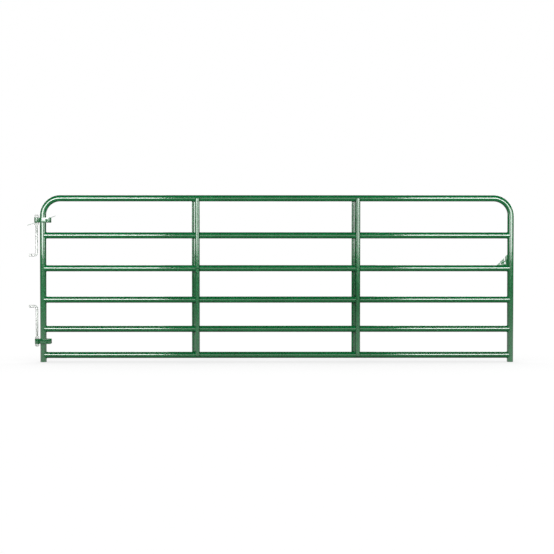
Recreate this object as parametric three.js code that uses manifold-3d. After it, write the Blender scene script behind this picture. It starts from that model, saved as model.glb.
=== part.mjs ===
// A tubular steel livestock panel gate. One bent hoop makes the legs and the top rail, and straight
// rails are coped and welded between the legs. Z-section braces tie the rails together. Strap hinges
// are bolted round the hinge-side leg, each with a bolt hook standing in its eye, and a slotted plate
// for the latch chain is welded in a corner on the other side.
// Millimetres. X runs along the gate towards its latch side, Y from front to back, and Z is up.
import * as THREE from "three";
import { mergeVertices } from "three/addons/utils/BufferGeometryUtils.js";
import Module from "manifold-3d";

const wasm = await Module();
wasm.setup();

// Leaf
const LEAF_WIDTH = 3606.8; // over the outsides of the legs
const LEAF_HEIGHT = 1270; // foot of the legs to the top of the top rail
const GAP = 0.3; // left between two pieces that touch or are welded

// Round tube, the same for the hoop and the rails
const TUBE_R = 23.8;
const TUBE_WALL = 1.2;
const TUBE_SIDES = 32;
const CORNER_R = 132; // centre line of the hoop's two bends
const CORNER_STEPS = 10;
const LEG_X = LEAF_WIDTH / 2 - TUBE_R; // centre line of the latch-side leg
const TOP_Z = LEAF_HEIGHT - TUBE_R; // centre line of the top rail
const RAIL_SPACINGS = [282, 250, 239, 223, 199]; // each rail below the one above it, closer lower down

// Z-section braces, folded from sheet, each flange with a lip that leans back to the rails
const BRACE_SHEET = 3.2;
const BRACE_DEPTH = 66.8; // over the middles of the two flanges' sheets
const BRACE_BEND_R = 9.6; // middle of the sheet, between web and flange
const BRACE_CROWN_R = 28; // each flange is crowned
const BRACE_CROWN = THREE.MathUtils.degToRad(16); // lean of the crown at its two sides
const BRACE_FLANGE = 30.5; // from the middle of the web to the end of each lip
const BRACE_LIP_GAP = 0.5; // between a tube and the lip's end
const FIRST_BRACE = 1161.2; // from the hinge-side leg
const BRACE_SPACING = 1219.2;
const BRACE_TAIL = 5; // bottom end below the bottom rail's centre line

// Chain latch plate: a triangle in the corner above the second straight rail
const PLATE_THICK = 5;
const PLATE_WIDTH = 79;
const PLATE_HEIGHT = 82;
const PLATE_RAIL = 1; // index of the straight rail it stands on
const CHAIN_HOLE = { x: -17.5, z: 16.5, r: 7 }; // from the plate's square corner
const PIN_HOLE = { x: -51, z: 9, r: 5 };
const SLOT = { x: -21.5, z: 37.5, r: 5 }; // rounded bottom of the slot, open at the slanted edge

// Strap hinges
const STRAP_HEIGHT = 38.1;
const STRAP_THICK = 6.35;
const STRAP_END_ROUND = 9;
const HINGE_Z = { upper: 1080.6, lower: 158 };
const EYE_OFFSET = 49; // leg's centre line to the eye's
const EYE_BORE_R = 10.3;
const NECK_BEND = 6; // centre line of the bends between the leg and the eye
const LEG_RUN = 44; // how far the strap's two legs run straight past the tube's centre line
const TURN_IN_R = 14;
const TURN_IN = THREE.MathUtils.degToRad(60);
const TURN_IN_TAIL = 5;

// Carriage bolt through the strap
const BOLT_X = 33;
const BOLT_R = 4.76;
const BOLT_LENGTH = 76.2;
const BOLT_HEAD_R = 10.3;
const BOLT_HEAD_HEIGHT = 5;
const BOLT_NECK = 9.5; // side of the square neck
const BOLT_NECK_DEPTH = 5.4;
const NUT_FLATS = 14.3;
const NUT_THICK = 8.3;

// Bolt hooks
const HOOK_R = 9.525;
const HOOK_LENGTH = 318; // overall, along the shank
const HOOK_REACH = 58; // shank's centre line to the tip of the short leg
const HOOK_BEND_R = 20;
const HOOK_NUT_FLATS = 28.6;
const HOOK_NUT_THICK = 16.3;
const HOOK_END = 6; // threaded end past the outer nut

// Loose tie wire behind the upper hinge
const WIRE_R = 1.5;
const WIRE_RISE = 0.336; // upward slope towards the latch side
const WIRE_LIFT = 1.8; // above the hinge's middle, where it crosses the leg

const GREEN = { color: 0x2f7a4c, roughness: 0.3, metalness: 0.0 };
const ZINC = { color: 0xc9d2cc, roughness: 0.35, metalness: 1.0 };

// ---- Solids ----

function toSolid(geometry) {
  const bare = geometry.clone();
  bare.deleteAttribute("normal");
  bare.deleteAttribute("uv");
  const merged = mergeVertices(bare, 1e-4);
  const mesh = new wasm.Mesh({
    numProp: 3,
    vertProperties: new Float32Array(merged.attributes.position.array),
    triVerts: new Uint32Array(merged.index.array),
  });
  return new wasm.Manifold(mesh);
}

function toGeometry(solid) {
  const mesh = solid.getMesh();
  const geometry = new THREE.BufferGeometry();
  geometry.setAttribute("position", new THREE.BufferAttribute(new Float32Array(mesh.vertProperties), 3));
  geometry.setIndex(new THREE.BufferAttribute(new Uint32Array(mesh.triVerts), 1));
  geometry.computeVertexNormals();
  return geometry;
}

// A path through given stations, straight between them, so that a long straight takes one step.
class StationPath extends THREE.Curve {
  constructor(stations) {
    super();
    this.stations = stations;
  }

  getUtoTmapping(u) {
    return u;
  }

  getPoint(t, target = new THREE.Vector3()) {
    const place = THREE.MathUtils.clamp(t, 0, 1) * (this.stations.length - 1);
    const index = Math.min(Math.floor(place), this.stations.length - 2);
    return target.lerpVectors(this.stations[index], this.stations[index + 1], place - index);
  }
}

// In all these extrusions a full circle gets the given number of sides: three.js gives it two for
// each of its curveSegments.
function sweep(shape, stations, sides) {
  return new THREE.ExtrudeGeometry(shape, {
    steps: stations.length - 1,
    extrudePath: new StationPath(stations),
    curveSegments: sides / 2,
  });
}

function circleShape(radius) {
  const shape = new THREE.Shape();
  shape.absarc(0, 0, radius, 0, 2 * Math.PI);
  return shape;
}

function ringShape(outer, inner) {
  const shape = circleShape(outer);
  shape.holes.push(circleShape(inner));
  return shape;
}

function arcPoints(centreX, centreY, radius, from, to, steps) {
  const points = [];
  for (let i = 0; i <= steps; i += 1) {
    const angle = from + ((to - from) * i) / steps;
    points.push([centreX + radius * Math.cos(angle), centreY + radius * Math.sin(angle)]);
  }
  return points;
}

// A round bar or tube along X between two places, at height z.
function barAlongX(shape, fromX, toX, z) {
  const geometry = new THREE.ExtrudeGeometry(shape, {
    depth: toX - fromX,
    bevelEnabled: false,
    curveSegments: TUBE_SIDES / 2,
  });
  return geometry.rotateY(Math.PI / 2).translate(fromX, 0, z);
}

// A flat shape drawn in X and Z, as thick as given and centred on y = 0.
function slabAcrossY(shape, thick, sides) {
  const geometry = new THREE.ExtrudeGeometry(shape, {
    depth: thick,
    bevelEnabled: false,
    curveSegments: sides / 2,
  });
  return geometry.translate(0, 0, -thick / 2).rotateX(Math.PI / 2);
}

function hexagonShape(acrossFlats, boreR) {
  const corners = [];
  for (let i = 0; i < 6; i += 1) {
    const angle = (i * Math.PI) / 3;
    const corner = acrossFlats / Math.sqrt(3);
    corners.push(new THREE.Vector2(corner * Math.cos(angle), corner * Math.sin(angle)));
  }
  const shape = new THREE.Shape(corners);
  shape.holes.push(circleShape(boreR));
  return shape;
}

// ---- Leaf ----

function railHeights() {
  const heights = [];
  let z = TOP_Z;
  for (const spacing of RAIL_SPACINGS) {
    z -= spacing;
    heights.push(z);
  }
  return heights;
}

function hoopStations() {
  const bendX = LEG_X - CORNER_R;
  const bendZ = TOP_Z - CORNER_R;
  const outline = [
    [-LEG_X, 0],
    ...arcPoints(-bendX, bendZ, CORNER_R, Math.PI, Math.PI / 2, CORNER_STEPS),
    ...arcPoints(bendX, bendZ, CORNER_R, Math.PI / 2, 0, CORNER_STEPS),
    [LEG_X, 0],
  ];
  return outline.map(([x, z]) => new THREE.Vector3(x, 0, z));
}

function hoopTube() {
  return sweep(ringShape(TUBE_R, TUBE_R - TUBE_WALL), hoopStations(), TUBE_SIDES);
}

function railTube(z) {
  const tube = toSolid(barAlongX(ringShape(TUBE_R, TUBE_R - TUBE_WALL), -LEG_X, LEG_X, z));
  let coped = tube;
  for (const legX of [-LEG_X, LEG_X]) {
    const leg = new THREE.CylinderGeometry(TUBE_R + GAP, TUBE_R + GAP, 4 * TUBE_R, TUBE_SIDES);
    coped = coped.subtract(toSolid(leg.rotateX(Math.PI / 2).translate(legX, 0, z)));
  }
  return toGeometry(coped);
}

// The outline of a sheet whose middle follows a line of points, mitred at each fold.
function sheetOutline(middle, thick) {
  const side = (sign) =>
    middle.map(([x, y], i) => {
      const before = middle[Math.max(i - 1, 0)];
      const after = middle[Math.min(i + 1, middle.length - 1)];
      const into = new THREE.Vector2(x - before[0], y - before[1]).normalize();
      const out = new THREE.Vector2(after[0] - x, after[1] - y).normalize();
      if (into.length() === 0) into.copy(out);
      if (out.length() === 0) out.copy(into);
      const along = into.clone().add(out).normalize();
      const reach = (sign * thick) / 2 / along.dot(out);
      return new THREE.Vector2(x - along.y * reach, y + along.x * reach);
    });
  return new THREE.Shape([...side(1), ...side(-1).reverse()]);
}

// The middle of the brace's sheet seen from above, from the end of one lip to the end of the other.
function braceLine() {
  const apart = BRACE_CROWN_R - BRACE_BEND_R;
  const crownX = BRACE_BEND_R + apart * Math.sin(BRACE_CROWN);
  const crownY = BRACE_CROWN_R - BRACE_DEPTH / 2;
  const bendY = crownY - apart * Math.cos(BRACE_CROWN);
  const ahead = -Math.PI / 2;
  const front = [
    [BRACE_FLANGE, -(TUBE_R + BRACE_LIP_GAP + BRACE_SHEET / 2)],
    ...arcPoints(crownX, crownY, BRACE_CROWN_R, ahead + BRACE_CROWN, ahead - BRACE_CROWN, 4),
    ...arcPoints(BRACE_BEND_R, bendY, BRACE_BEND_R, ahead - BRACE_CROWN, -Math.PI, 5).slice(1),
  ];
  const back = front.map(([x, y]) => [-x, -y]).reverse();
  return [...front, ...back];
}

function zBrace(x, heights) {
  const bottom = heights[heights.length - 1] - BRACE_TAIL;
  const bar = new THREE.ExtrudeGeometry(sheetOutline(braceLine(), BRACE_SHEET), {
    depth: TOP_Z - bottom,
    bevelEnabled: false,
  });
  let brace = toSolid(bar.translate(x, 0, bottom));
  for (const z of [TOP_Z, ...heights]) {
    const around = 2 * BRACE_FLANGE;
    brace = brace.subtract(toSolid(barAlongX(circleShape(TUBE_R + GAP), x - around, x + around, z)));
  }
  return toGeometry(brace);
}

function chainPlate() {
  const outline = new THREE.Shape([
    new THREE.Vector2(-PLATE_WIDTH, 0),
    new THREE.Vector2(0, 0),
    new THREE.Vector2(0, PLATE_HEIGHT),
  ]);
  for (const hole of [CHAIN_HOLE, PIN_HOLE]) {
    const round = new THREE.Path();
    round.absarc(hole.x, hole.z, hole.r, 0, 2 * Math.PI);
    outline.holes.push(round);
  }
  const slot = new THREE.Shape();
  slot.moveTo(SLOT.x + SLOT.r, PLATE_HEIGHT);
  slot.lineTo(SLOT.x - SLOT.r, PLATE_HEIGHT);
  slot.lineTo(SLOT.x - SLOT.r, SLOT.z);
  slot.absarc(SLOT.x, SLOT.z, SLOT.r, Math.PI, 2 * Math.PI);
  const plate = toSolid(slabAcrossY(outline, PLATE_THICK, 20));
  return toGeometry(plate.subtract(toSolid(slabAcrossY(slot, 2 * PLATE_THICK, 20))));
}

// ---- Hinges ----

// Half of the strap's centre line seen from above, from the front end round to the far side of the
// eye: end turned in, straight leg, round the tube, back through the neck, and half the eye.
function strapHalf() {
  const wrapR = TUBE_R + GAP + STRAP_THICK / 2;
  const eyeR = EYE_BORE_R + STRAP_THICK / 2;
  const reach = wrapR + NECK_BEND;
  const eyeReach = eyeR + NECK_BEND;
  const neckX = (eyeReach ** 2 - reach ** 2 - EYE_OFFSET ** 2) / (2 * EYE_OFFSET);
  const neckY = -Math.sqrt(reach ** 2 - neckX ** 2);
  const wrapEnd = Math.atan2(neckY, neckX);
  const eyeStart = Math.atan2(neckY, neckX + EYE_OFFSET);
  const turnCentreY = TURN_IN_R - wrapR;
  const turned = TURN_IN - Math.PI / 2;
  const tipX = LEG_RUN + TURN_IN_R * Math.cos(turned) + TURN_IN_TAIL * Math.cos(TURN_IN);
  const tipY = turnCentreY + TURN_IN_R * Math.sin(turned) + TURN_IN_TAIL * Math.sin(TURN_IN);
  return [
    [tipX, tipY],
    ...arcPoints(LEG_RUN, turnCentreY, TURN_IN_R, turned, -Math.PI / 2, 5),
    ...arcPoints(0, 0, wrapR, -Math.PI / 2, wrapEnd, 8),
    ...arcPoints(neckX, neckY, NECK_BEND, wrapEnd + Math.PI, eyeStart + Math.PI, 6).slice(1),
    ...arcPoints(-EYE_OFFSET, 0, eyeR, eyeStart, -Math.PI, 9).slice(1),
  ];
}

function hingeStrap() {
  const half = strapHalf();
  const backHalf = half.slice(0, -1).reverse();
  const outline = [...half, ...backHalf.map(([x, y]) => [x, -y])];
  const section = new THREE.Shape([
    new THREE.Vector2(-STRAP_HEIGHT / 2, -STRAP_THICK / 2),
    new THREE.Vector2(STRAP_HEIGHT / 2, -STRAP_THICK / 2),
    new THREE.Vector2(STRAP_HEIGHT / 2, STRAP_THICK / 2),
    new THREE.Vector2(-STRAP_HEIGHT / 2, STRAP_THICK / 2),
  ]);
  const stations = outline.map(([x, y]) => new THREE.Vector3(x, y, 0));
  const strap = toSolid(sweep(section, stations, 4));
  const squareHole = new THREE.BoxGeometry(BOLT_NECK + 2 * GAP, 2 * TUBE_R, BOLT_NECK + 2 * GAP);
  const roundHole = new THREE.CylinderGeometry(BOLT_R + GAP, BOLT_R + GAP, 2 * TUBE_R, 16);
  const drilled = strap
    .subtract(toSolid(squareHole.translate(BOLT_X, -2 * TUBE_R, 0)))
    .subtract(toSolid(roundHole.translate(BOLT_X, 2 * TUBE_R, 0)));
  return toGeometry(drilled.intersect(toSolid(strapEndRounding())));
}

// A block whose rounded corners trim the strap's two ends.
function strapEndRounding() {
  const endX = Math.max(...strapHalf().map(([x]) => x)) + STRAP_THICK / 2;
  const cornerX = endX - STRAP_END_ROUND;
  const top = STRAP_HEIGHT / 2 + 1;
  const cornerZ = top - STRAP_END_ROUND;
  const shape = new THREE.Shape();
  shape.moveTo(-2 * EYE_OFFSET, -top);
  shape.lineTo(cornerX, -top);
  shape.absarc(cornerX, -cornerZ, STRAP_END_ROUND, -Math.PI / 2, 0);
  shape.absarc(cornerX, cornerZ, STRAP_END_ROUND, 0, Math.PI / 2);
  shape.lineTo(-2 * EYE_OFFSET, top);
  return slabAcrossY(shape, 6 * TUBE_R, 12);
}

function carriageBolt() {
  const domeR = (BOLT_HEAD_R ** 2 + BOLT_HEAD_HEIGHT ** 2) / (2 * BOLT_HEAD_HEIGHT);
  const slope = Math.asin(BOLT_HEAD_R / domeR);
  const profile = [];
  for (let i = 0; i <= 6; i += 1) {
    const angle = (slope * i) / 6;
    profile.push(new THREE.Vector2(domeR * Math.sin(angle), domeR * (1 - Math.cos(angle)) - BOLT_HEAD_HEIGHT));
  }
  profile[0].x = 0;
  profile.push(new THREE.Vector2(BOLT_R, 0));
  profile.push(new THREE.Vector2(BOLT_R, BOLT_LENGTH));
  profile.push(new THREE.Vector2(0, BOLT_LENGTH));
  const round = toSolid(new THREE.LatheGeometry(profile, 24));
  const neck = new THREE.BoxGeometry(BOLT_NECK, BOLT_NECK_DEPTH, BOLT_NECK);
  return toGeometry(round.add(toSolid(neck.translate(0, BOLT_NECK_DEPTH / 2 - 0.1, 0))));
}

function strapNut() {
  const shape = hexagonShape(NUT_FLATS, BOLT_R + GAP);
  return slabAcrossY(shape, NUT_THICK, 16).translate(0, NUT_THICK / 2, 0);
}

// ---- Bolt hooks ----

// Drawn with the eye's middle at the origin, the threaded end up and the short leg towards -X.
function boltHook(endZ) {
  const legZ = endZ - HOOK_LENGTH + HOOK_R;
  const bend = arcPoints(-HOOK_BEND_R, legZ + HOOK_BEND_R, HOOK_BEND_R, 0, -Math.PI / 2, 8);
  const route = [[0, endZ], ...bend, [-HOOK_REACH, legZ]];
  return sweep(circleShape(HOOK_R), route.map(([x, z]) => new THREE.Vector3(x, 0, z)), 24);
}

function hookNut() {
  const shape = hexagonShape(HOOK_NUT_FLATS, HOOK_R + GAP);
  return new THREE.ExtrudeGeometry(shape, { depth: HOOK_NUT_THICK, bevelEnabled: false, curveSegments: 12 });
}

function tieWire() {
  const wrapY = TUBE_R + GAP + STRAP_THICK + GAP + WIRE_R;
  const plan = [
    [-123, wrapY - 13],
    [-60, wrapY - 5],
    [-10, wrapY],
    [50, wrapY],
    [91, wrapY - 8],
  ];
  const points = plan.map(([x, y]) => new THREE.Vector3(x, y, WIRE_LIFT + WIRE_RISE * x));
  return new THREE.ExtrudeGeometry(circleShape(WIRE_R), {
    steps: 16,
    extrudePath: new THREE.CatmullRomCurve3(points),
    curveSegments: 5,
  });
}

// ---- Assembly ----

function named(name, geometry, look) {
  const mesh = new THREE.Mesh(geometry, new THREE.MeshStandardMaterial(look));
  mesh.name = name;
  return mesh;
}

function leaf() {
  const group = new THREE.Group();
  const heights = railHeights();
  group.add(named("outer_frame_tube", hoopTube(), GREEN));
  heights.forEach((z, index) => {
    group.add(named(`rail_${index + 1}`, railTube(z), GREEN));
  });
  const firstX = FIRST_BRACE - LEG_X;
  group.add(named("hinge_side_z_brace", zBrace(firstX, heights), GREEN));
  group.add(named("latch_side_z_brace", zBrace(firstX + BRACE_SPACING, heights), GREEN));
  const plate = named("chain_latch_plate", chainPlate(), GREEN);
  plate.position.set(LEG_X - TUBE_R - GAP, 0, heights[PLATE_RAIL] + TUBE_R + GAP);
  group.add(plate);
  return group;
}

function hinge(side) {
  const group = new THREE.Group();
  const strapFace = TUBE_R + GAP + STRAP_THICK + GAP;
  const bolt = named(`${side}_strap_bolt`, carriageBolt(), GREEN);
  bolt.position.set(BOLT_X, -strapFace, 0);
  const nut = named(`${side}_strap_nut`, strapNut(), GREEN);
  nut.position.set(BOLT_X, strapFace, 0);
  group.add(named(`${side}_hinge_strap`, hingeStrap(), GREEN), bolt, nut);
  group.position.set(-LEG_X, 0, HINGE_Z[side]);
  return group;
}

function hook(side) {
  const group = new THREE.Group();
  const nutZ = STRAP_HEIGHT / 2 + GAP;
  const outerNut = named(`${side}_hook_outer_nut`, hookNut(), ZINC);
  outerNut.position.z = nutZ;
  const innerNut = named(`${side}_hook_inner_nut`, hookNut(), ZINC);
  innerNut.position.z = -nutZ - HOOK_NUT_THICK;
  const rod = named(`${side}_bolt_hook`, boltHook(nutZ + HOOK_NUT_THICK + HOOK_END), ZINC);
  group.add(rod, outerNut, innerNut);
  group.position.set(-LEG_X - EYE_OFFSET, 0, HINGE_Z[side]);
  return group;
}

function gate() {
  const group = new THREE.Group();
  const lowerHook = hook("lower");
  lowerHook.rotation.x = Math.PI; // its threaded end points down
  const wire = named("tie_wire", tieWire(), ZINC);
  wire.position.set(-LEG_X, 0, HINGE_Z.upper);
  group.add(leaf(), hinge("upper"), hinge("lower"), hook("upper"), lowerHook, wire);
  return group;
}

// The origin is the middle of the underside of the box round everything.
const group = gate();
const box = new THREE.Box3().setFromObject(group);
const middle = box.getCenter(new THREE.Vector3());
group.position.set(-middle.x, -middle.y, -box.min.z);

export default group;
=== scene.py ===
"""A painted tubular steel panel gate with its hinges, bolt hooks and chain latch plate.

Metres. X runs along the gate towards its latch side, Y from front to back, and Z is up.
"""
import math

import bpy
import numpy as np
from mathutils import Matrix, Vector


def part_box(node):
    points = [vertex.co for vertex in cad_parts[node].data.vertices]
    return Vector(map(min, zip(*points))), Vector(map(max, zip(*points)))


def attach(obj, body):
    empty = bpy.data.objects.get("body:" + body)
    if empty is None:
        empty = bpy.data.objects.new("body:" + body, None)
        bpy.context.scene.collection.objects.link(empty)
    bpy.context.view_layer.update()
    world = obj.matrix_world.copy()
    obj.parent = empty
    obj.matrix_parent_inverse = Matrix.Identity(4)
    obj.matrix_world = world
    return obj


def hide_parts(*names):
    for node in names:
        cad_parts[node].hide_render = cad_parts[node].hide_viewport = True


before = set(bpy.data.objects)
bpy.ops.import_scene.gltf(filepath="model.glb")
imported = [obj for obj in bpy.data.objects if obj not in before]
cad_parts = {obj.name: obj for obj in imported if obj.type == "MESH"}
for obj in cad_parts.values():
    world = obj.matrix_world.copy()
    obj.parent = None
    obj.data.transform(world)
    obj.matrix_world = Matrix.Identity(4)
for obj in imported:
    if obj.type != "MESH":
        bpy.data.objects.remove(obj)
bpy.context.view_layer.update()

MM = 0.001
TURN = 2 * math.pi
ALONG_Y = (0.0, 1.0, 0.0)
ALONG_Z = (0.0, 0.0, 1.0)

# ---- Sizes, and places worked out from the frame's boxes ----


def corners(node):
    """The lowest and highest corners of a CAD node's box."""
    low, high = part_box(node)
    return np.array(low), np.array(high)


def middle(node):
    """The middle of a CAD node's box."""
    low, high = corners(node)
    return (low + high) / 2


TUBE_R = 23.8 * MM
TUBE_WALL = 1.2 * MM
TUBE_SIDES = 64
CORNER_R = 132 * MM
CORNER_FLATTENING = 0.025
CORNER_STEPS = 28
HOOP_SPACING = 90 * MM
GAP = 0.3 * MM

hoop_low, hoop_high = corners("outer_frame_tube")
TUBE_Y = (hoop_low[1] + hoop_high[1]) / 2
HINGE_LEG_X = hoop_low[0] + TUBE_R
LATCH_LEG_X = hoop_high[0] - TUBE_R
TOP_Z = hoop_high[2] - TUBE_R

RAILS = ["rail_1", "rail_2", "rail_3", "rail_4", "rail_5"]
RAIL_ZS = [middle(rail)[2] for rail in RAILS]
ALL_RAIL_ZS = [TOP_Z] + RAIL_ZS
RAIL_STATIONS = 41

BRACES = {"hinge_side_z_brace": "hinge_side", "latch_side_z_brace": "latch_side"}
BRACE_SHEET = 3.2 * MM
BRACE_DEPTH = 66.8 * MM
BRACE_BEND_R = 9.6 * MM
BRACE_CROWN_R = 28 * MM
BRACE_CROWN = math.radians(16)
BRACE_FLANGE = 30.5 * MM
BRACE_LIP_GAP = 0.5 * MM
BRACE_CROWN_STEPS = 10
BRACE_FOLD_STEPS = 9
LIP_START = 0.15
WEB_COLUMNS = 27
LEVEL_STEP = 2.2 * MM
LEVELS_BESIDE_RAIL = 14
RIM_REACH = 2.6 * MM

BEAD_R = 2.6 * MM
WEB_BEAD_R = 0.8 * BEAD_R
THIN_BEAD_R = 0.75 * BEAD_R
BEAD_SIDES = 10
BEAD_RIPPLE = 3.2 * MM
BEAD_RIPPLE_SHARE = 0.10
BEAD_WANDER = 27 * MM
BEAD_WANDER_SHARE = 0.12
BEAD_TAPER = 3 * MM
BEAD_THINNEST = 0.04
COPE_BEAD_OUT = 0.8 * MM
COPE_BEAD_LEAST = 2 * MM
COPE_BEAD_STEPS = 90
WEB_BEAD_OUT = 0.9 * MM
WEB_BEAD_STEPS = 44
LIP_BEAD_OUT = 0.8 * MM
LIP_BEAD_REACH = 9 * MM
LIP_BEAD_STEPS = 26
PLATE_BEAD_OUT = 0.2 * MM
PLATE_BEAD_STEPS = 60

PLATE_THICK = 5 * MM
PLATE_WIDTH = 79 * MM
PLATE_HEIGHT = 82 * MM
PLATE_TIP = 1.4 * MM
PLATE_TOP = 1.5 * MM
PLATE_EDGE_R = 0.5 * MM
CHAIN_HOLE = (-17.5 * MM, 16.5 * MM, 7 * MM)
PIN_HOLE = (-51 * MM, 9 * MM, 5 * MM)
SLOT_X = -21.5 * MM
SLOT_Z = 37.5 * MM
SLOT_R = 5 * MM
SLOT_STEPS = 14
HOLE_STEPS = 28

STRAP_HEIGHT = 38.1 * MM
STRAP_THICK = 6.35 * MM
STRAP_EDGE_R = 1.0 * MM
STRAP_END_ROUND = 9 * MM
STRAP_END_DROP = 0.82
STRAP_TIP_ROUND = 1.2 * MM
STRAP_TIP_THICK = 0.62
EYE_OFFSET = 49 * MM
EYE_BORE_R = 10.3 * MM
NECK_BEND = 6 * MM
LEG_RUN = 44 * MM
TURN_IN_R = 14 * MM
TURN_IN = math.radians(60)
TURN_IN_TAIL = 5 * MM
TURN_IN_STEPS = 12
WRAP_STEPS = 20
NECK_STEPS = 10
STRAP_SPACING = 2.4 * MM

BOLT_R = 4.76 * MM
BOLT_SIDES = 48
BOLT_THREAD_PITCH = 1.6 * MM
BOLT_THREAD_DEPTH = 0.5 * MM
BOLT_THREAD_LENGTH = 26 * MM
BOLT_HEAD_R = 10.3 * MM
BOLT_HEAD_HEIGHT = 5 * MM
BOLT_NECK = 9.5 * MM
BOLT_NECK_DEPTH = 5.4 * MM
BOLT_NECK_CORNER = 0.62
BOLT_THREAD_STEP = 0.2 * MM
BOLT_NUT_FLATS = 14.3 * MM

HOOK_R = 9.525 * MM
HOOK_BEND_R = 20 * MM
HOOK_BEND_STEPS = 20
HOOK_SHANK_SPACING = 12 * MM
HOOK_LEG_SPACING = 4 * MM
HOOK_THREAD_PITCH = 2.54 * MM
HOOK_THREAD_DEPTH = 0.85 * MM
HOOK_THREAD_LENGTH = 142 * MM
HOOK_THREAD_STEP = 0.3 * MM
HOOK_NUT_FLATS = 28.6 * MM

NUT_SIDES = 96
NUT_LEVELS = np.array([0, 0.02, 0.05, 0.08, 0.11, 0.5, 0.89, 0.92, 0.95, 0.98, 1.0])
NUT_FACE = 0.475
NUT_CHAMFER = math.radians(30)
NUT_LEAD_IN = 0.7 * MM

ROD_SIDES = 36
THREAD_SLOPE = 2.6
THREAD_CREST = 0.15
LEAD_LENGTH = 1.5 * MM
LEAD_DEPTH = 0.14
TAIL_LENGTH = 1.2 * MM
TAIL_DEPTH = 0.10
WIRE_R = 1.5 * MM
WIRE_SIDES = 14
WIRE_STEPS = 70
WIRE_PLAN = np.array([[-123, -13], [-60, -5], [-10, 0], [50, 0], [91, -8]]) * MM
WIRE_LIFT = 1.8 * MM
WIRE_SLOPE = 0.336

GREEN = "green_powder_coat"
ZINC = "zinc_plating"

# ---- Meshes ----

CREASE = math.radians(40)
WELD_CREASE = math.radians(70)
NUT_CREASE = math.radians(22)
PLATE_CREASE = math.radians(30)


def link(name, mesh):
    """An object for a mesh, put in the scene."""
    piece = bpy.data.objects.new(name, mesh)
    bpy.context.scene.collection.objects.link(piece)
    return piece


def add_mesh(name, points, faces, smooth_angle=CREASE):
    """A mesh object whose faces point out: where the signed volume, a sixth of the sum of each
    triangle's corner triple product, is negative, every face is turned over."""
    mesh = bpy.data.meshes.new(name)
    mesh.from_pydata(points.tolist(), [], faces)
    mesh.calc_loop_triangles()
    ends = np.zeros(len(mesh.loop_triangles) * 3, np.int32)
    mesh.loop_triangles.foreach_get("vertices", ends)
    a, b, c = (points[ends.reshape(-1, 3)[:, i]] for i in range(3))
    if np.einsum("ij,ij->i", a, np.cross(b, c)).sum() < 0:
        mesh.flip_normals()
    mesh.validate()
    mesh.shade_smooth()
    mesh.set_sharp_from_angle(angle=smooth_angle)
    return link(name, mesh)


def grid_faces(rows, columns, closed_rows, closed_columns, first=0):
    """Quads between neighbours of a rows by columns grid of vertices, whole arrays at once. A
    closed direction joins its last line to its first."""
    row = np.arange(rows if closed_rows else rows - 1)
    column = np.arange(columns if closed_columns else columns - 1)
    r, c = np.meshgrid(row, column, indexing="ij")
    r, c = r.ravel(), c.ravel()
    next_r, next_c = (r + 1) % rows, (c + 1) % columns
    quads = (r * columns + c, r * columns + next_c, next_r * columns + next_c, next_r * columns + c)
    return np.stack(quads, 1) + first


def end_fan(ring, centre):
    """Triangles from each side of a closed ring of vertices to one vertex in its middle."""
    return np.stack([ring, np.roll(ring, -1), np.full(len(ring), centre)], 1)


def closed_loop(name, grid, smooth_angle=CREASE):
    """A closed surface over a grid of rings: each ring closes on itself, and the last ring joins
    the first."""
    rings, sides = grid.shape[:2]
    quads = grid_faces(rings, sides, True, True)
    return add_mesh(name, grid.reshape(-1, 3), quads.tolist(), smooth_angle)


def capped(name, grids, smooth_angle=CREASE):
    """Closed surfaces in one mesh, each over its own grid of rings: each ring closes on itself, and
    each end closes in a fan to its ring's middle."""
    points, quads, triangles, first = [], [], [], 0
    for grid in grids:
        rings, sides = grid.shape[:2]
        points += [grid.reshape(-1, 3), np.stack([grid[0].mean(0), grid[-1].mean(0)])]
        quads.append(grid_faces(rings, sides, False, True, first))
        start = np.arange(sides) + first
        end = start + (rings - 1) * sides
        poles = first + rings * sides
        triangles += [end_fan(start[::-1], poles), end_fan(end, poles + 1)]
        first = poles + 2
    faces = np.concatenate(quads).tolist() + np.concatenate(triangles).tolist()
    return add_mesh(name, np.concatenate(points), faces, smooth_angle)


def along_path(path, profile, across):
    """A grid of rings: each ring is the profile's (u, v) drawn with u along the path's normal and
    v along the constant across vector, where the normal is across times the path's direction.
    profile is one (sides, 2) array or one for each path point, (points, sides, 2)."""
    ahead = np.gradient(path, axis=0)
    ahead /= np.linalg.norm(ahead, axis=1, keepdims=True)
    side = np.cross(across, ahead)
    side /= np.linalg.norm(side, axis=1, keepdims=True)
    profile = np.broadcast_to(profile, (len(path),) + np.shape(profile)[-2:])
    return path[:, None, :] + profile[..., :1] * side[:, None, :] + profile[..., 1:] * np.array(across)


def circle(radius, sides):
    """Points on a circle: radius times (cos a, sin a), with a even round the turn."""
    angle = np.arange(sides) * TURN / sides
    return np.stack([np.cos(angle), np.sin(angle)], 1) * radius


def arc(centre, radius, start, end, steps):
    """Points centre + radius (cos a, sin a), with a even from start to end."""
    angle = np.linspace(start, end, steps + 1)
    return np.array(centre) + radius * np.stack([np.cos(angle), np.sin(angle)], 1)


def line_of(count, *values):
    """So many points, from one number or one array for each of x, y and z."""
    return np.stack([np.broadcast_to(np.asarray(value, float), count) for value in values], 1)


def distances(points):
    """How far along a line each of its points lies."""
    steps = np.linalg.norm(np.diff(points, axis=0), axis=1)
    return np.concatenate([[0], np.cumsum(steps)])


def spaced(points, most):
    """The same line of points with more put in between, none further apart than most."""
    steps = np.maximum(np.ceil(np.linalg.norm(np.diff(points, axis=0), axis=1) / most), 1)
    at = np.concatenate([np.arange(n) / n + i for i, n in enumerate(steps.astype(int))])
    at = np.append(at, len(points) - 1)
    where = np.arange(len(points))
    return np.stack([np.interp(at, where, points[:, i]) for i in range(points.shape[1])], 1)


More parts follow.
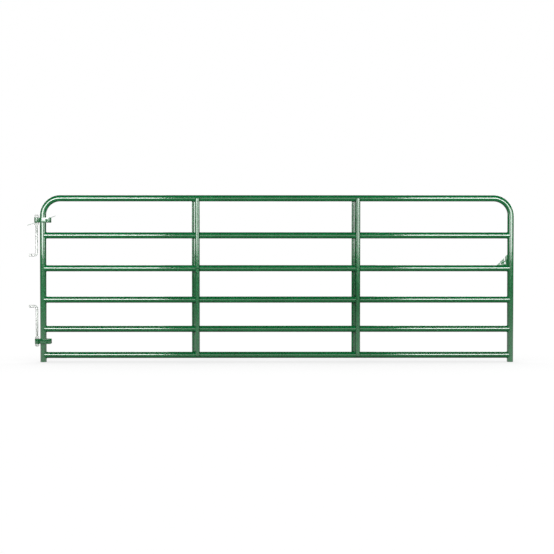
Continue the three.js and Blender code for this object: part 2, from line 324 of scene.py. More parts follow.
def about_z(radius, height, sides):
    """A grid turned about Z: the point at angle a of each row is (radius cos a, radius sin a,
    height). radius and height have one value for each row, or one for each row and angle."""
    ring = circle(1, sides)
    radius = np.broadcast_to(radius, (len(radius), sides))
    height = np.broadcast_to(height, (len(height), sides))
    return np.stack([radius * ring[:, 0], radius * ring[:, 1], height], 2)


def place(grid, centre, axis):
    """Turns a grid made about Z onto its axis, "z" up or "y" to the back, and moves it to its
    centre. Turning keeps it right-handed."""
    x, y, z = grid[..., 0], grid[..., 1], grid[..., 2]
    turned = {"z": (x, y, z), "y": (x, z, -y)}[axis]
    return np.stack(turned, -1) + np.asarray(centre)


def finish_piece(piece, material, body, slot, *nodes):
    """Gives a piece its material and body, and hides the nodes it stands for. slot is not used."""
    piece.data.materials.append(material)
    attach(piece, body)
    if nodes:
        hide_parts(*nodes)


# ---- Finishes ----


class Nodes:
    """A node tree, with short calls to add to it."""

    def __init__(self, tree):
        self.tree = tree
        self.links = tree.links

    def add(self, node_type, **values):
        """A new node, with its inputs set by name."""
        node = self.tree.nodes.new(node_type)
        for name, value in values.items():
            node.inputs[name.replace("_", " ")].default_value = value
        return node

    def ramp(self, value, *stops):
        """A value or colour that goes from stop to stop as the input goes up."""
        node = self.add("ShaderNodeValToRGB")
        self.links.new(value, node.inputs["Fac"])
        ends = node.color_ramp.elements
        while len(ends) < len(stops):
            ends.new(0.5)
        for element, (position, shown) in zip(ends, stops):
            element.position = position
            element.color = (*shown, 1) if isinstance(shown, tuple) else (shown, shown, shown, 1)
        return node.outputs["Color"]


class Finish(Nodes):
    """A material on the object's own coordinates."""

    def __init__(self, name):
        self.material = bpy.data.materials.new(name)
        self.material.use_nodes = True
        super().__init__(self.material.node_tree)
        self.shader = self.tree.nodes["Principled BSDF"]
        self.place = self.add("ShaderNodeTexCoord").outputs["Object"]

    def noise(self, patches, detail=3, stretch=None):
        """Noise between 0 and 1 with so many patches to a metre, stretched where asked."""
        node = self.add("ShaderNodeTexNoise", Scale=patches, Detail=detail)
        place = self.place
        if stretch:
            mapping = self.add("ShaderNodeMapping", Scale=stretch)
            self.links.new(self.place, mapping.inputs["Vector"])
            place = mapping.outputs["Vector"]
        self.links.new(place, node.inputs["Vector"])
        return node.outputs["Fac"]

    def math(self, operation, first, second):
        """One sum of two values."""
        node = self.add("ShaderNodeMath")
        node.operation = operation
        for socket, value in zip(node.inputs, (first, second)):
            self.fill(socket, value)
        return node.outputs[0]

    def mix(self, amount, first, second):
        """A colour part way from first to second."""
        node = self.add("ShaderNodeMix")
        node.data_type = "RGBA"
        self.links.new(amount, node.inputs["Factor"])
        for socket, value in zip([s for s in node.inputs if s.type == "RGBA"], (first, second)):
            self.fill(socket, value)
        return [s for s in node.outputs if s.type == "RGBA"][0]

    def edges(self, radius):
        """0 on flat ground and up to 1 on sharp edges: how far the bevelled normal leans."""
        bevel = self.add("ShaderNodeBevel", Radius=radius)
        bevel.samples = 4
        geometry = self.add("ShaderNodeNewGeometry")
        dot = self.add("ShaderNodeVectorMath")
        dot.operation = "DOT_PRODUCT"
        self.links.new(bevel.outputs["Normal"], dot.inputs[0])
        self.links.new(geometry.outputs["Normal"], dot.inputs[1])
        lean = self.math("SUBTRACT", 1.0, dot.outputs["Value"])
        return self.math("MULTIPLY", lean, 4.0)

    def bump(self, *layers):
        """Bump from several (height, depth in metres) layers, each on top of the last."""
        normal = None
        for height, depth in layers:
            node = self.add("ShaderNodeBump", Distance=depth)
            self.links.new(height, node.inputs["Height"])
            if normal is not None:
                self.links.new(normal, node.inputs["Normal"])
            normal = node.outputs["Normal"]
        self.links.new(normal, self.shader.inputs["Normal"])

    def fill(self, socket, value):
        """Puts a number or colour into a socket, or links another node's output to it."""
        if isinstance(value, (int, float)):
            socket.default_value = value
        elif isinstance(value, tuple):
            socket.default_value = (*value, 1)
        else:
            self.links.new(value, socket)

    def set(self, **sockets):
        """Sets or links the shader's own sockets."""
        for name, value in sockets.items():
            self.fill(self.shader.inputs[name.replace("_", " ")], value)


PAINT = (0.0060, 0.150, 0.041)
PAINT_DEEP = (0.0045, 0.122, 0.032)
PAINT_WORN = (0.024, 0.190, 0.068)
ZINC_WORN = (0.86, 0.87, 0.85)

# How many patches of each pattern there are to a metre.
PAINT_DRIFT = 3.1
PAINT_SMUDGE = 11
PAINT_SCUFFS = 95
PAINT_RIPPLE = 62
ORANGE_PEEL = 420
WELD_POOL = 180
WELD_DULL = 60
WELD_GRAIN = 900
ZINC_CLOUD = 34
ZINC_MOTTLE = 140
ZINC_PITS = 220
ZINC_GRAIN = 1500


def green_coat(name, wear, ior):
    """Glossy green powder coat: drifting colour, orange peel, faint scuffs and thin edges."""
    coat = Finish(name)
    body = coat.ramp(coat.noise(PAINT_DRIFT, 2), (0.35, PAINT_DEEP), (0.65, PAINT))
    scuffs = coat.ramp(coat.noise(PAINT_SCUFFS, 5, (1, 1, 0.4)), (0.62, 0.0), (0.80, 1.0))
    rub = coat.math("MULTIPLY", coat.edges(1.6 * MM), wear)
    shown = coat.math("MAXIMUM", rub, coat.math("MULTIPLY", scuffs, 0.16))
    coat.set(Base_Color=coat.mix(shown, body, PAINT_WORN), IOR=ior)
    coat.set(Roughness=coat.ramp(coat.noise(PAINT_SMUDGE, 4), (0.3, 0.06), (0.75, 0.13)))
    coat.bump((coat.noise(ORANGE_PEEL, 2), 0.04 * MM), (coat.noise(PAINT_RIPPLE, 2), 0.07 * MM))
    return coat.material


def weld_coat(name):
    """The same coat over a weld bead, a little duller and uneven where paint has pooled."""
    coat = Finish(name)
    pool = coat.noise(WELD_POOL, 4)
    coat.set(Base_Color=coat.ramp(pool, (0.35, PAINT_DEEP), (0.7, PAINT_WORN)))
    coat.set(Roughness=coat.ramp(coat.noise(WELD_DULL, 3), (0.3, 0.2), (0.7, 0.34)))
    coat.bump((coat.noise(WELD_GRAIN, 3), 0.12 * MM))
    return coat.material


def zinc_plate(name, light):
    """Pale zinc plating on steel: cloudy tone, fine drawn grain, duller in its low spots."""
    zinc = Finish(name)
    pale = (light, light * 1.035, light * 0.985)
    dull = (light * 0.86, light * 0.89, light * 0.86)
    tone = zinc.ramp(zinc.noise(ZINC_CLOUD, 4), (0.3, dull), (0.68, pale))
    rub = zinc.math("MULTIPLY", zinc.edges(0.8 * MM), 0.6)
    zinc.set(Base_Color=zinc.mix(rub, tone, ZINC_WORN), Metallic=0.35)
    zinc.set(Roughness=zinc.ramp(zinc.noise(ZINC_MOTTLE, 4), (0.3, 0.36), (0.72, 0.52)))
    grain = zinc.noise(ZINC_GRAIN, 2, (1, 1, 0.15))
    zinc.bump((grain, 0.02 * MM), (zinc.noise(ZINC_PITS, 3), 0.03 * MM))
    return zinc.material


tube_coat = green_coat("tube_green_coat", 0.25, 1.9)
brace_coat = green_coat("brace_green_coat", 0.8, 1.8)
plate_coat = green_coat("plate_green_coat", 0.8, 1.45)
strap_coat = green_coat("hinge_green_coat", 1.0, 1.8)
bolt_coat = green_coat("bolt_green_coat", 0.9, 1.7)
bead_coat = weld_coat("weld_green_coat")
hook_zinc = zinc_plate("hook_zinc_plate", 0.80)
nut_zinc = zinc_plate("nut_zinc_plate", 0.72)

# ---- Outer frame and rails ----


def hoop_line():
    """The middle of the bent tube: up the hinge leg, a quarter turn, along the top, a quarter
    turn, and down the latch leg."""
    left, right = HINGE_LEG_X + CORNER_R, LATCH_LEG_X - CORNER_R
    bend_z = TOP_Z - CORNER_R
    outline = np.concatenate([
        [[HINGE_LEG_X, 0.0]],
        arc((left, bend_z), CORNER_R, TURN / 2, TURN / 4, CORNER_STEPS),
        arc((right, bend_z), CORNER_R, TURN / 4, 0, CORNER_STEPS),
        [[LATCH_LEG_X, 0.0]],
    ])
    outline = spaced(outline, HOOP_SPACING)
    return line_of(len(outline), outline[:, 0], TUBE_Y, outline[:, 1])


def outer_frame():
    """The hoop: its outer wall up the path, a rounded lip at each open foot, and its inner wall
    back down, joined end to end. In the bends the tube is a little flat across the bend."""
    path = hoop_line()
    blend = 0.3 * CORNER_R
    in_bend = np.minimum(
        np.clip((path[:, 2] - (TOP_Z - CORNER_R)) / blend, 0, 1),
        np.clip((TOP_Z - path[:, 2]) / blend, 0, 1),
    )
    squeeze = np.stack([1 - CORNER_FLATTENING * in_bend, np.ones(len(path))], 1)
    ring = circle(1, TUBE_SIDES)[None] * squeeze[:, None, :]
    outer = along_path(path, ring * TUBE_R, ALONG_Y)
    inner = along_path(path, ring * (TUBE_R - TUBE_WALL), ALONG_Y)
    rim = along_path(path, ring * (TUBE_R - TUBE_WALL / 2), ALONG_Y)
    for wall in (outer, inner):
        wall[[0, -1], :, 2] += TUBE_WALL / 2
    grid = np.concatenate([rim[:1], outer, rim[-1:], inner[::-1]])
    return closed_loop("outer_frame_tube_painted", grid)


finish_piece(outer_frame(), tube_coat, "gate_leaf", GREEN, "outer_frame_tube")


def coped_wall(ring, z):
    """One wall of a rail. Every line of it runs from one leg's surface to the other's: it stops
    where x is the leg's middle plus or minus the root of R squared less y squared."""
    cope = np.sqrt((TUBE_R + GAP)**2 - ring[:, 0] ** 2)
    share = np.linspace(0, 1, RAIL_STATIONS)[:, None]
    x = (HINGE_LEG_X + cope) * (1 - share) + (LATCH_LEG_X - cope) * share
    y = np.broadcast_to(TUBE_Y + ring[:, 0], x.shape)
    height = np.broadcast_to(z + ring[:, 1], x.shape)
    return np.stack([x, y, height], 2)


for rail, z in zip(RAILS, RAIL_ZS):
    outer = coped_wall(circle(TUBE_R, TUBE_SIDES), z)
    inner = coped_wall(circle(TUBE_R - TUBE_WALL, TUBE_SIDES), z)
    piece = closed_loop(rail + "_painted", np.concatenate([outer, inner[::-1]]))
    finish_piece(piece, tube_coat, "gate_leaf", GREEN, rail)

# ---- Z-section braces ----


def brace_line():
    """The middle of the folded sheet from above: the front lip, which leans back to the rails,
    the crowned front flange, a round fold and the web, and all of it turned half round for the
    back."""
    apart = BRACE_CROWN_R - BRACE_BEND_R
    crown_y = BRACE_CROWN_R - BRACE_DEPTH / 2
    crown_centre = (BRACE_BEND_R + apart * math.sin(BRACE_CROWN), crown_y)
    fold_centre = (BRACE_BEND_R, crown_y - apart * math.cos(BRACE_CROWN))
    right, left = -TURN / 4 + BRACE_CROWN, -TURN / 4 - BRACE_CROWN
    crown = arc(crown_centre, BRACE_CROWN_R, right, left, BRACE_CROWN_STEPS)
    fold = arc(fold_centre, BRACE_BEND_R, left, -TURN / 2, BRACE_FOLD_STEPS)
    lip_end = np.array([BRACE_FLANGE, -(TUBE_R + BRACE_LIP_GAP + BRACE_SHEET / 2)])
    lip = crown[0] + (lip_end - crown[0]) * np.array([[1.0], [LIP_START]])
    front = np.concatenate([lip, crown[1:], fold[1:]])
    return np.concatenate([front, -front[::-1]])


def brace_sheet(name, x):
    """The brace as a sheet standing on its line, in rows up its height. Web cells that fall inside
    a rail's circle are left out, and the vertices round the opening are moved onto that circle."""
    bottom, top = (corner[2] for corner in corners(name))
    line = brace_line()
    web_from = np.argmax(np.abs(line[:, 0]) < 0.01 * MM)
    web_to = len(line) - 1 - web_from
    web_ys = np.linspace(line[web_from, 1], line[web_to, 1], WEB_COLUMNS)
    web = np.stack([np.zeros_like(web_ys), web_ys], 1)
    line = np.concatenate([line[:web_from], web, line[web_to + 1:]])
    beside = np.arange(-LEVELS_BESIDE_RAIL, LEVELS_BESIDE_RAIL + 1) * LEVEL_STEP
    levels = np.concatenate([[bottom, top]] + [beside + z for z in ALL_RAIL_ZS])
    levels = np.unique(np.clip(np.round(levels, 6), bottom, top))
    grid = np.zeros((len(levels), len(line), 3))
    grid[..., 0] = x + line[:, 0]
    grid[..., 1] = TUBE_Y + line[:, 1]
    grid[..., 2] = levels[:, None]
    hole_r = TUBE_R + GAP
    on_web = (np.abs(line[:, 0]) < 0.5 * MM)[None]
    keep = np.ones((len(levels) - 1, len(line) - 1), bool)
    for z in ALL_RAIL_ZS:
        y, h = grid[..., 1] - TUBE_Y, grid[..., 2] - z
        far = np.sqrt(y**2 + h**2)
        inside = (far < hole_r) & on_web
        near = (far >= hole_r) & (far < hole_r + RIM_REACH) & on_web
        scale = np.where(near, hole_r / np.maximum(far, 1e-9), 1)
        grid[..., 1] = np.where(near, TUBE_Y + y * scale, grid[..., 1])
        moved = np.where(near, z + h * scale, grid[..., 2])
        grid[..., 2] = np.clip(moved, bottom, top)
        keep &= ~(inside[:-1, :-1] | inside[1:, :-1] | inside[:-1, 1:] | inside[1:, 1:])
    quads = grid_faces(len(levels), len(line), False, False)[keep.ravel()]
    piece = add_mesh(name + "_painted", grid.reshape(-1, 3), quads.tolist())
    wall = piece.modifiers.new("sheet", "SOLIDIFY")
    wall.thickness = BRACE_SHEET
    wall.offset = 0
    wall.use_even_offset = True
    return piece


for node in BRACES:
    finish_piece(brace_sheet(node, middle(node)[0]), brace_coat, "gate_leaf", GREEN, node)

# ---- Weld beads ----

rng = np.random.default_rng(47)


def bead(path, radius, out):
    """A weld bead: a rope whose radius ripples along its path, tapered at its two ends, and drawn
    with its ring in the plane of the out vectors and their cross product with the path."""
    ahead = np.gradient(path, axis=0)
    length = np.linalg.norm(ahead, axis=1, keepdims=True)
    travel = np.cumsum(length.ravel())
    ahead /= length
    out = out - np.einsum("ij,ij->i", out, ahead)[:, None] * ahead
    out /= np.linalg.norm(out, axis=1, keepdims=True)
    side = np.cross(ahead, out)
    phase = rng.uniform(0, TURN)
    ripple = 1 + BEAD_RIPPLE_SHARE * np.sin(travel / BEAD_RIPPLE * TURN + phase)
    wander = 1 + BEAD_WANDER_SHARE * np.sin(travel / BEAD_WANDER * TURN + 2 * phase)
    from_end = np.minimum(travel - travel[0], travel[-1] - travel)
    taper = np.sqrt(np.clip(from_end / BEAD_TAPER, BEAD_THINNEST, 1))
    size = (radius * ripple * wander * taper)[:, None, None]
    ring = circle(1, BEAD_SIDES)
    return path[:, None, :] + size * (ring[:, :1] * out[:, None, :] + ring[:, 1:] * side[:, None, :])


def cope_bead(leg_x, towards, z):
    """A bead round a rail's coped end: the angle goes round the rail, and x follows the leg."""
    steps = COPE_BEAD_STEPS
    angle = np.linspace(0, TURN, steps)
    y, height = TUBE_R * np.cos(angle), TUBE_R * np.sin(angle)
    bulge = np.sqrt(np.maximum((TUBE_R + COPE_BEAD_OUT) ** 2 - y**2, COPE_BEAD_LEAST**2))
    path = line_of(steps, leg_x + towards * bulge, TUBE_Y + y, z + height)
    return bead(path, BEAD_R, line_of(steps, towards * 0.7, np.cos(angle), np.sin(angle)))


def web_bead(x, z, face, start, end):
    """A bead round part of a rail where it passes through a brace's web."""
    steps = WEB_BEAD_STEPS
    angle = np.linspace(start, end, steps)
    ring = (TUBE_R + WEB_BEAD_OUT) * np.stack([np.cos(angle), np.sin(angle)], 1)
    path = line_of(steps, x + face * BRACE_SHEET / 2, TUBE_Y + ring[:, 0], z + ring[:, 1])
    return bead(path, WEB_BEAD_R, line_of(steps, face, np.cos(angle), np.sin(angle)))


def lip_bead(x, z, side):
    """A short bead where a flange's lip rests on a rail, along the rail's nearest line."""
    steps = LIP_BEAD_STEPS
    height = np.linspace(-LIP_BEAD_REACH, LIP_BEAD_REACH, steps)
    y = side * np.sqrt(TUBE_R**2 - height**2)
    path = line_of(steps, x - side * (BRACE_FLANGE + LIP_BEAD_OUT), TUBE_Y + y, z + height)
    return bead(path, THIN_BEAD_R, line_of(steps, -side * 0.6, side, height / TUBE_R))


leg_beads = []
for leg_x, towards in ((HINGE_LEG_X, 1), (LATCH_LEG_X, -1)):
    for z in RAIL_ZS:
        leg_beads.append(cope_bead(leg_x, towards, z))
finish_piece(capped("rail_end_welds", leg_beads, WELD_CREASE), bead_coat, "gate_leaf", GREEN)

LONG_WAY, SHORT_WAY = 0.47 * TURN, 0.02 * TURN
for node, side_name in BRACES.items():
    x = middle(node)[0]
    beads = []
    for z in ALL_RAIL_ZS:
        upper = SHORT_WAY if z == TOP_Z else LONG_WAY
        lower = -SHORT_WAY if z == RAIL_ZS[-1] else -LONG_WAY
        beads.append(web_bead(x, z, 1, lower, upper))
        beads.append(web_bead(x, z, -1, TURN / 2 - upper, TURN / 2 - lower))
        beads.append(lip_bead(x, z, -1))
        beads.append(lip_bead(x, z, 1))
    welds = capped(side_name + "_brace_welds", beads, WELD_CREASE)
    finish_piece(welds, bead_coat, "gate_leaf", GREEN)

# ---- Chain latch plate ----

plate_low, plate_high = corners("chain_latch_plate")
CORNER_X = plate_high[0]
CORNER_Z = plate_low[2]


def slanted_edge(x):
    """The point of the plate's slanted edge at x, measured from its square corner."""
    return [x, PLATE_HEIGHT * (1 + x / PLATE_WIDTH)]


def latch_plate():
    """A right-angled triangle with its tips cut short, a slot that opens in its slanted edge and
    two round holes: a filled flat curve, made thick and bevelled, then made a mesh."""
    slot = arc((SLOT_X, SLOT_Z), SLOT_R, TURN, TURN / 2, SLOT_STEPS)
    outline = np.concatenate([
        [[0, 0], [0, PLATE_HEIGHT - PLATE_TOP], slanted_edge(-PLATE_TIP)],
        [slanted_edge(SLOT_X + SLOT_R)],
        slot,
        [slanted_edge(SLOT_X - SLOT_R)],
        [slanted_edge(-PLATE_WIDTH + PLATE_TIP), [-PLATE_WIDTH, 0]],
    ])
    holes = [arc((x, z), r, 0, TURN, HOLE_STEPS)[:-1] for x, z, r in (CHAIN_HOLE, PIN_HOLE)]
    curve = bpy.data.curves.new("latch_plate_outline", "CURVE")
    curve.dimensions = "2D"
    curve.fill_mode = "BOTH"
    curve.bevel_depth = PLATE_EDGE_R
    curve.bevel_resolution = 2
    curve.extrude = PLATE_THICK / 2 - curve.bevel_depth
    curve.offset = -curve.bevel_depth
    for ring in [outline] + holes:
        spline = curve.splines.new("POLY")
        spline.points.add(len(ring) - 1)
        spline.points.foreach_set("co", np.pad(ring, ((0, 0), (0, 2))).ravel())
        spline.use_cyclic_u = True
    flat = bpy.data.objects.new("latch_plate_outline", curve)
    mesh = bpy.data.meshes.new_from_object(flat)
    points = np.zeros(len(mesh.vertices) * 3)
    mesh.vertices.foreach_get("co", points)
    u, v, w = points.reshape(-1, 3).T
    placed = np.stack([CORNER_X + u, TUBE_Y - w, CORNER_Z + v], 1)
    mesh.vertices.foreach_set("co", placed.ravel())
    mesh.name = "chain_latch_plate_painted"
    mesh.update()
    mesh.shade_smooth()
    mesh.set_sharp_from_angle(angle=PLATE_CREASE)
    piece = link("chain_latch_plate_painted", mesh)
    weld = piece.modifiers.new("weld", "WELD")
    weld.merge_threshold = 0.01 * MM
    return piece


finish_piece(latch_plate(), plate_coat, "gate_leaf", GREEN, "chain_latch_plate")

plate_beads = []
steps = PLATE_BEAD_STEPS
for face in (-1, 1):
    y = TUBE_Y + face * PLATE_THICK / 2
    run = np.linspace(-PLATE_WIDTH + 4 * MM, -3 * MM, steps)
    foot = line_of(steps, CORNER_X + run, y, CORNER_Z - PLATE_BEAD_OUT)
    plate_beads.append(bead(foot, THIN_BEAD_R, line_of(steps, 0.0, face, 0.6)))
    rise = np.linspace(3 * MM, PLATE_HEIGHT - 5 * MM, steps)
    edge = line_of(steps, CORNER_X + PLATE_BEAD_OUT, y, CORNER_Z + rise)
    plate_beads.append(bead(edge, THIN_BEAD_R, line_of(steps, -0.6, face, 0.0)))
finish_piece(capped("latch_plate_welds", plate_beads, WELD_CREASE), bead_coat, "gate_leaf", GREEN)

# ---- Strap hinges ----


def strap_line():
    """The middle of the hinge strap from above, its leg's axis at the origin: the end turned in,
    the straight leg, round the tube, back through the neck, round the eye, and mirrored."""
    wrap_r = TUBE_R + GAP + STRAP_THICK / 2
    eye_r = EYE_BORE_R + STRAP_THICK / 2
    reach, eye_reach = wrap_r + NECK_BEND, eye_r + NECK_BEND
    neck_x = (eye_reach**2 - reach**2 - EYE_OFFSET**2) / (2 * EYE_OFFSET)
    neck_y = -math.sqrt(reach**2 - neck_x**2)
    wrap_end = math.atan2(neck_y, neck_x)
    eye_start = math.atan2(neck_y, neck_x + EYE_OFFSET)
    neck_start, neck_end = wrap_end + TURN / 2, eye_start + TURN / 2
    turn_y = TURN_IN_R - wrap_r
    turned = TURN_IN - TURN / 4
    fold = arc((LEG_RUN, turn_y), TURN_IN_R, turned, -TURN / 4, TURN_IN_STEPS)
    tip = fold[0] + TURN_IN_TAIL * np.array([math.cos(TURN_IN), math.sin(TURN_IN)])
    half = np.concatenate([
        [tip],
        fold,
        arc((0, 0), wrap_r, -TURN / 4, wrap_end, WRAP_STEPS),
        arc((neck_x, neck_y), NECK_BEND, neck_start, neck_end, NECK_STEPS)[1:],
        arc((-EYE_OFFSET, 0), eye_r, eye_start, -TURN / 2, WRAP_STEPS)[1:],
    ])
    whole = np.concatenate([half, (half[:-1] * [1, -1])[::-1]])
    return spaced(whole, STRAP_SPACING)


def rounded_bar(half_wide, half_high, corner):
    """A rectangle's outline with round corners, six points to a corner."""
    signs = ((1, 1), (-1, 1), (-1, -1), (1, -1))
    rounds = []
    for quarter, (sign_u, sign_v) in enumerate(signs):
        centre = (sign_u * (half_wide - corner), sign_v * (half_high - corner))
        start = quarter * TURN / 4
        rounds.append(arc(centre, corner, start, start + TURN / 4, 5))
    return np.concatenate(rounds)


def hinge_strap(name, z):
    """A flat bar with eased edges carried along the strap's line. Near each end its height follows
    a quarter circle, so that the ends are rounded off."""
    line = strap_line()
    travel = distances(line)
    from_end = np.minimum(travel, travel[-1] - travel)
    into = np.clip(1 - from_end / STRAP_END_ROUND, 0, 1)
    drop = STRAP_END_ROUND * (1 - np.sqrt(1 - into**2)) * STRAP_END_DROP
    from_tip = np.clip(from_end / STRAP_TIP_ROUND, 0, 1)
    thick = STRAP_TIP_THICK + (1 - STRAP_TIP_THICK) * np.sqrt(from_tip)
    base = rounded_bar(STRAP_THICK / 2, STRAP_HEIGHT / 2, STRAP_EDGE_R)
    grow = np.stack([STRAP_THICK / 2 * (thick - 1), -drop], 1)
    profile = base[None] + np.sign(base)[None] * grow[:, None, :]
    path = line_of(len(line), HINGE_LEG_X + line[:, 0], TUBE_Y + line[:, 1], z)
    return capped(name, [along_path(path, profile, ALONG_Z)])


def hexagon_nut(name, flats, thick, bore, centre, axis):
    """A hexagon nut with chamfered faces and a bore, round its axis: each ring's radius is the
    smaller of the hexagon's own, half the flats over the cosine from the nearest flat's middle,
    and a cone that meets the faces at 30 degrees."""
    angle = np.arange(NUT_SIDES) * TURN / NUT_SIDES
    from_flat = (angle + TURN / 12) % (TURN / 6) - TURN / 12
    hexagon = flats / 2 / np.cos(from_flat)
    levels = NUT_LEVELS * thick
    cone = NUT_FACE * flats + np.minimum(levels, thick - levels) / math.tan(NUT_CHAMFER)
    outer = np.minimum(hexagon[None, :], cone[:, None])
    wall = np.full((1, NUT_SIDES), bore)
    mouth = wall + NUT_LEAD_IN
    radius = np.concatenate([wall, mouth, outer, mouth, wall])
    height = np.concatenate([[NUT_LEAD_IN, 0.0], levels, [thick, thick - NUT_LEAD_IN]])
    grid = about_z(radius, height[:, None], NUT_SIDES)
    return closed_loop(name, place(grid, centre, axis), NUT_CREASE)


def threaded_rod(path, radius, thread_from, thread_to, pitch, depth, across):
    """A rod along a path. Between the two distances along it, the radius follows a screw thread:
    it dips by depth times a rounded triangle wave of distance over pitch less angle over a turn."""
    angle = np.arange(ROD_SIDES) * TURN / ROD_SIDES
    travel = distances(path)
    wave = (travel[:, None] / pitch - angle[None, :] / TURN) % 1
    groove = np.clip(THREAD_SLOPE * np.abs(wave - 0.5) - THREAD_CREST, 0, 1)
    entered = np.clip((travel - thread_from) / pitch, 0, 1)
    inside = entered * np.clip((thread_to - travel) / pitch, 0, 1)
    size = radius - depth * groove * inside[:, None]
    lead = np.clip(travel / LEAD_LENGTH, 0, 1)[:, None]
    tail = np.clip((travel[-1] - travel) / TAIL_LENGTH, 0, 1)[:, None]
    size = size * (1 - LEAD_DEPTH * (1 - lead)) * (1 - TAIL_DEPTH * (1 - tail))
    return along_path(path, circle(1, ROD_SIDES)[None] * size[..., None], across)


def bolt_head():
    """A domed head and its square neck as one turned surface: the dome is part of a ball, and the
    neck's radius is half its width over the cosine from the nearest side's middle."""
    ball_r = (BOLT_HEAD_R**2 + BOLT_HEAD_HEIGHT**2) / (2 * BOLT_HEAD_HEIGHT)
    slope = np.linspace(0.02, 1, 12) * math.asin(BOLT_HEAD_R / ball_r)
    rim_radius = BOLT_HEAD_R - np.array([0.2, 1.2]) * MM
    rim_height = BOLT_HEAD_HEIGHT + np.array([0.25, 0.3]) * MM
    radius = np.concatenate([ball_r * np.sin(slope), rim_radius])
    height = np.concatenate([ball_r * (1 - np.cos(slope)), rim_height])
    head = about_z(radius[:, None], height[:, None], BOLT_SIDES)
    turn = np.arange(BOLT_SIDES) * TURN / BOLT_SIDES
    from_side = (turn + TURN / 8) % (TURN / 4) - TURN / 8
    square = np.minimum(BOLT_NECK / 2 / np.cos(from_side), BOLT_NECK_CORNER * BOLT_NECK)
    neck_radius = square[None] * np.array([[1], [1], [0.94]])
    neck_height = BOLT_HEAD_HEIGHT + np.array([0.3 * MM, BOLT_NECK_DEPTH - 0.6 * MM, BOLT_NECK_DEPTH])
    return np.concatenate([head, about_z(neck_radius, neck_height[:, None], BOLT_SIDES)])


def strap_bolt(name, x, z):
    """A carriage bolt from front to back: a domed head with a square neck, and a shank that closes
    inside it and ends in a thread."""
    low, high = corners(name)
    length = high[1] - low[1]
    front = place(bolt_head(), (x, low[1], z), "y")
    start = BOLT_HEAD_HEIGHT + BOLT_NECK_DEPTH - 0.5 * MM
    run = np.append(np.arange(start, length, BOLT_THREAD_STEP), length)
    path = line_of(len(run), x, low[1] + run, z)
    total = length - start
    thread_from, thread_to = total - BOLT_THREAD_LENGTH, total + 1
    shank = threaded_rod(
        path, BOLT_R, thread_from, thread_to, BOLT_THREAD_PITCH, BOLT_THREAD_DEPTH, ALONG_Z
    )
    return capped(name + "_painted", [front, shank], WELD_CREASE)


for side_name in ("upper", "lower"):
    strap = side_name + "_hinge_strap"
    piece = hinge_strap(strap + "_painted", middle(strap)[2])
    finish_piece(piece, strap_coat, "gate_leaf", GREEN, strap)
    bolt = side_name + "_strap_bolt"
    bolt_x, _, bolt_z = middle(bolt)
    finish_piece(strap_bolt(bolt, bolt_x, bolt_z), bolt_coat, "gate_leaf", GREEN, bolt)
    nut = side_name + "_strap_nut"
    low, high = corners(nut)
    centre = (middle(nut)[0], low[1], middle(nut)[2])
    bore = BOLT_R - 0.1 * MM
    piece = hexagon_nut(nut + "_painted", BOLT_NUT_FLATS, high[1] - low[1], bore, centre, "y")
    finish_piece(piece, bolt_coat, "gate_leaf", GREEN, nut)

# ---- Bolt hooks ----


def hook_path(node, up):
    """Down the shank from the threaded end, a quarter turn, and out along the short leg. up is 1
    where the threaded end is on top and -1 where the hook is turned over."""
    low, high = corners(node)
    eye_x = high[0] - HOOK_R
    end_z = high[2] if up > 0 else low[2]
    leg_z = low[2] + HOOK_R if up > 0 else high[2] - HOOK_R
    bend_z = leg_z + up * HOOK_BEND_R
    threaded = HOOK_THREAD_LENGTH + 4 * MM
    fine = np.arange(0, threaded, HOOK_THREAD_STEP)
    shank = np.stack([np.full(len(fine), eye_x), end_z - up * fine], 1)
    plain = spaced(np.array([[eye_x, end_z - up * threaded], [eye_x, bend_z]]), HOOK_SHANK_SPACING)
    bend = arc((eye_x - HOOK_BEND_R, bend_z), HOOK_BEND_R, 0, -up * TURN / 4, HOOK_BEND_STEPS)[1:]
    leg = spaced(np.array([bend[-1], [low[0], leg_z]]), HOOK_LEG_SPACING)[1:]
    tip = np.array([[low[0] + TAIL_LENGTH, leg_z], [low[0], leg_z]])
    flat = np.concatenate([shank, plain, bend, leg[:-1], tip])
    return line_of(len(flat), flat[:, 0], middle(node)[1], flat[:, 1])


for side_name, up in (("upper", 1), ("lower", -1)):
    hook = side_name + "_bolt_hook"
    body = side_name + "_hook"
    path = hook_path(hook, up)
    grid = threaded_rod(
        path, HOOK_R, -1, HOOK_THREAD_LENGTH, HOOK_THREAD_PITCH, HOOK_THREAD_DEPTH, ALONG_Y
    )
    finish_piece(capped(hook + "_zinc", [grid]), hook_zinc, body, ZINC, hook)
    for which in ("outer", "inner"):
        nut = side_name + "_hook_" + which + "_nut"
        low, high = corners(nut)
        centre = (middle(nut)[0], middle(nut)[1], low[2])
        bore = HOOK_R - 0.2 * MM
        piece = hexagon_nut(nut + "_zinc", HOOK_NUT_FLATS, high[2] - low[2], bore, centre, "z")
        finish_piece(piece, nut_zinc, body, ZINC, nut)

# ---- Tie wire ----


